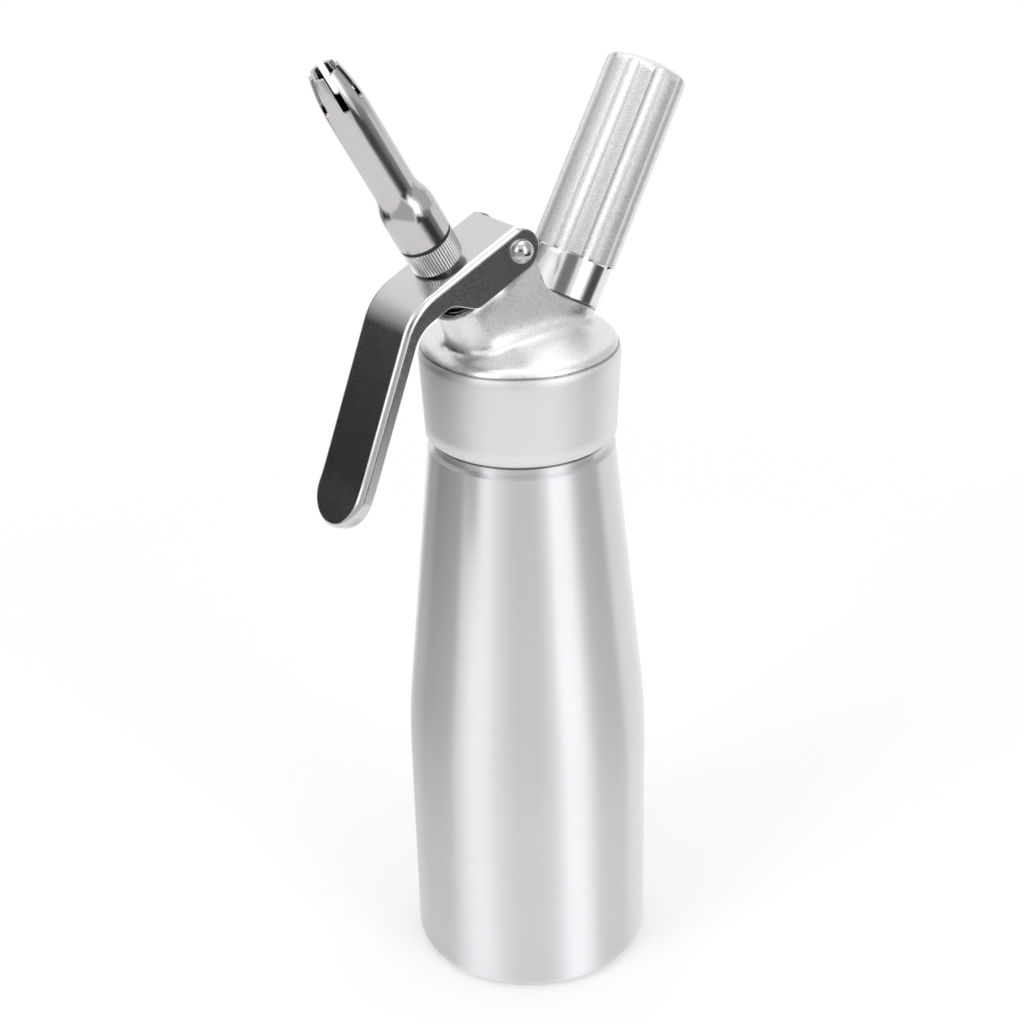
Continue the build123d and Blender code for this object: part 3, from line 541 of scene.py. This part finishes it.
# Painted highlight and painted shade: the crests are painted light and the grooves dark, by the distance from
# the ring's axis, varied a little by the smears.
knurl_painted_light = knurl_finish.between(knurl_reach, knurl_root_r, knurl_crest_r) * knurl_highlight_spread
knurl_finish.show(
    Base_Color=knurl_finish.mix(knurl_painted_light, knurl_groove_shade, knurl_crest_highlight),
    Roughness=knurl_finish.varied(knurl_smears, 0.32, 0.4),
)
dress("nozzle_holder", knurl_finish)
rivet_dark, rivet_light = (0.48, 0.475, 0.47), (0.56, 0.555, 0.55)
rivet_finish = Finish("bright_rivet")
rivet_smears = rivet_finish.noise(rivet_finish.place, scale=500.0)
rivet_finish.show(
    Base_Color=rivet_finish.mix(rivet_smears, rivet_dark, rivet_light),
    Roughness=rivet_finish.varied(rivet_smears, 0.07, 0.12),
)
pin_spot = Vector((-0.0072983, 0, 0.2564011))
pin_r, pin_sides, cheek_y = 0.0025, 48, 0.011
pin_head_r, pin_head_h = 0.00375, 0.0034
rivet = bmesh.new()
for side in (pi / 2, -pi / 2):
    dome = bmesh.new()
    bmesh.ops.create_uvsphere(dome, u_segments=pin_sides, v_segments=24, radius=pin_head_r)
    cut(dome, 0, above=True)
    domed = Matrix.Diagonal((1, 1, pin_head_h / pin_head_r, 1))
    dome_place = tipped(side) @ Matrix.Translation((0, 0, cheek_y)) @ domed
    bmesh.ops.transform(dome, matrix=dome_place, verts=dome.verts)
    join(rivet, dome)
shank = {"radius1": pin_r, "radius2": pin_r, "depth": 2 * cheek_y, "matrix": tipped(pi / 2)}
bmesh.ops.create_cone(rivet, cap_ends=True, segments=pin_sides, **shank)
bmesh.ops.translate(rivet, vec=pin_spot, verts=rivet.verts)
finished("rivet_pin", rivet, "lever", "polished_steel", rivet_finish, "lever_pin")
spigot_thread = thread(radius=0.0060, low=0.0712, high=0.0768, pitch=0.00125, place=nozzle_place)
finished("spigot_thread", spigot_thread, "valve", "polished_steel", polish_finish)
tip_washer = ring(
    bore=0.00605, outside=0.0082, low=0.0691657, high=0.0701657, edge=0.0002, place=nozzle_place
)
finished("tip_washer", tip_washer, "valve", "black_rubber", rubber_finish, "tip_seal")

# Charger holder: a turned aluminium sleeve with nine hollow flutes to grip.
# The grip is blasted, and the collar below it is left bright from the lathe.
collar_end, grip_start = 0.0448, 0.0454
collar_bright, grip_dark, grip_light = (0.80, 0.80, 0.805), (0.71, 0.71, 0.715), (0.91, 0.91, 0.92)
holder_finish = Finish("blasted_holder")
holder_place = holder_finish.mapped(lean=charger_lean, start=charger_start)
holder_grip = holder_finish.between(holder_finish.along(holder_place), collar_end, grip_start)
holder_grain = holder_finish.noise(holder_finish.place, scale=blast_scale, detail=0.0)
holder_blast = holder_finish.mix(holder_finish.between(holder_grain, 0.2, 0.8), grip_dark, grip_light)
holder_finish.show(
    Base_Color=holder_finish.mix(holder_grip, collar_bright, holder_blast),
    Roughness=holder_finish.between(holder_grip, 0.0, 1.0, 0.18, 0.44),
    Normal=holder_finish.relief(holder_grain * holder_grip, strength=0.2, distance=0.0002),
)
dress("charger_holder", holder_finish)

# Camera: it stands at the photograph's height and distance and looks down on the lever's side.
# Its place, turn, pitch and roll were fitted to the bottle, the skirt and both slanted axes.
camera_side, camera_aside = -39, 0.356
camera_away, camera_height = 0.5785, 0.4547
camera_turn = radians(camera_side + camera_aside)
camera_pitch = radians(26.75)
camera_roll = radians(-1.39)
camera = bpy.data.objects.new("camera", bpy.data.cameras.new("camera"))
camera.data.sensor_width = 36.0
camera.data.lens = 70.31


def turned_to(turn):
    # A turn round the upright axis
    return Euler((0, 0, turn)).to_matrix()


looking = turned_to(camera_turn) @ tipped(pi / 2 - camera_pitch).to_3x3() @ turned_to(camera_roll)
camera.rotation_euler = looking.to_euler()
camera.location = turned_to(radians(camera_side)) @ Vector((0, -camera_away, camera_height))
scene.collection.objects.link(camera)
scene.camera = camera

# Floor: a round table top under a plain pale sheet, which takes the whipper's soft shadow.
# It fades out before its edge, so that no rim shows against the backdrop.
floor_r, fade_start, fade_end = 0.62, 0.30, 0.52
sheet_white, white = (0.9, 0.9, 0.9, 1), (1, 1, 1, 1)
floor_shape = bmesh.new()
bmesh.ops.create_circle(floor_shape, cap_ends=True, segments=128, radius=floor_r)
floor = put("floor", floor_shape)
floor_finish = Finish("pale_floor", metallic=0.0)
floor_finish.show(Base_Color=sheet_white, Roughness=0.9, Specular_IOR_Level=0.0)
floor_finish.show(Emission_Color=white, Emission_Strength=0.16)
floor_finish.beyond(
    floor_finish.between(floor_finish.length(floor_finish.place), fade_start, fade_end),
    floor_finish.node("ShaderNodeBsdfTransparent", {}, {}),
)
floor.data.materials.append(floor_finish.material)


# Studio light: two upright soft boxes before the whipper and one above it, in a white room.
# Grey and dark cards stand round the table, which only the bright metal sees.
def beside(turn, away, height):
    # A place round the whipper: turned to the right from the camera's side, so far off and so high
    angle = radians(camera_side + turn)
    return Vector((sin(angle) * away, -cos(angle) * away, height))


lit_spot = Vector((0, 0, 0.16))
card_steps = 48
black = (0, 0, 0, 1)


def soft_box(name, spot, wide, high, level):
    # A lamp that faces the whipper's middle, as bright as its level all over
    lamp = bpy.data.lights.new(name, "AREA")
    lamp.shape = "RECTANGLE"
    lamp.size, lamp.size_y = wide, high
    lamp.energy = level * pi * wide * high
    box = bpy.data.objects.new(name, lamp)
    box.location = spot
    box.rotation_euler = (lit_spot - spot).to_track_quat("-Z", "Y").to_euler()
    scene.collection.objects.link(box)


def card(name, turns, away, heights, levels):
    # A curved card round the table, between two turns and two heights, graded from its foot to its top
    shape = bmesh.new()
    foot, top = (shape.verts.new(beside(turns[0], away, height)) for height in heights)
    rib = shape.edges.new((foot, top))
    sweep = radians(turns[1] - turns[0])
    bmesh.ops.spin(shape, geom=[foot, top, rib], **around, angle=sweep, steps=card_steps, use_merge=False)
    made = put(name, shape)
    finish = Finish(name, metallic=0.0)
    rise = finish.between(finish.along(finish.place), *heights)
    foot_grey, top_grey = ((level, level, level) for level in levels)
    finish.show(Base_Color=black, Roughness=1.0, Specular_IOR_Level=0.0)
    finish.show(Emission_Color=finish.mix(rise, foot_grey, top_grey), Emission_Strength=1.0)
    made.data.materials.append(finish.material)
    made.visible_camera = False
    made.visible_diffuse = False
    made.visible_shadow = False


soft_box("box_left", beside(turn=-50, away=1.3, height=0.8), wide=0.66, high=1.3, level=1.42)
soft_box("box_right", beside(turn=44, away=1.3, height=0.72), wide=0.62, high=1.5, level=1.06)
soft_box("box_top", Vector((0.1, 0.12, 1.5)), wide=1.0, high=1.0, level=1.0)
card("low_right", turns=(36, 62), away=1.05, heights=(-0.5, -0.02), levels=(0.05, 0.05))
card("table_right", turns=(62, 99), away=1.05, heights=(-0.5, -0.02), levels=(0.03, 0.05))
card("edge_right", turns=(62, 99), away=1.04, heights=(-0.02, 0.28), levels=(0.22, 0.40))
card("table_left", turns=(-114, -70), away=1.05, heights=(-0.5, 0.38), levels=(0.02, 0.02))
card("edge_left", turns=(-140, -114), away=1.05, heights=(-0.5, 0.38), levels=(0.30, 0.30))
card("low_left", turns=(-140, -69), away=1.0, heights=(0.36, 0.68), levels=(0.05, 0.46))
card("side_left", turns=(-150, -76), away=0.98, heights=(0.68, 0.95), levels=(0.46, 0.95))
card("side_right", turns=(68, 140), away=1.0, heights=(0.28, 1.4), levels=(0.65, 0.65))
card("front", turns=(-18, 19), away=1.0, heights=(0.40, 0.88), levels=(0.17, 0.17))
card("front_low", turns=(-66, 28), away=1.02, heights=(-0.4, 0.40), levels=(0.62, 0.62))

diffuse_loss = 0.28
world = bpy.data.worlds.new("studio")
world.use_nodes = True
scene.world = world
room = Nodes(world.node_tree)
diffuse_ray = room.node("ShaderNodeLightPath", {}, {}, "Is Diffuse Ray")
room.wire(room.tree.nodes["Background"], {"Color": white, "Strength": 1 - diffuse_ray * diffuse_loss})

scene.view_settings.view_transform = "Standard"
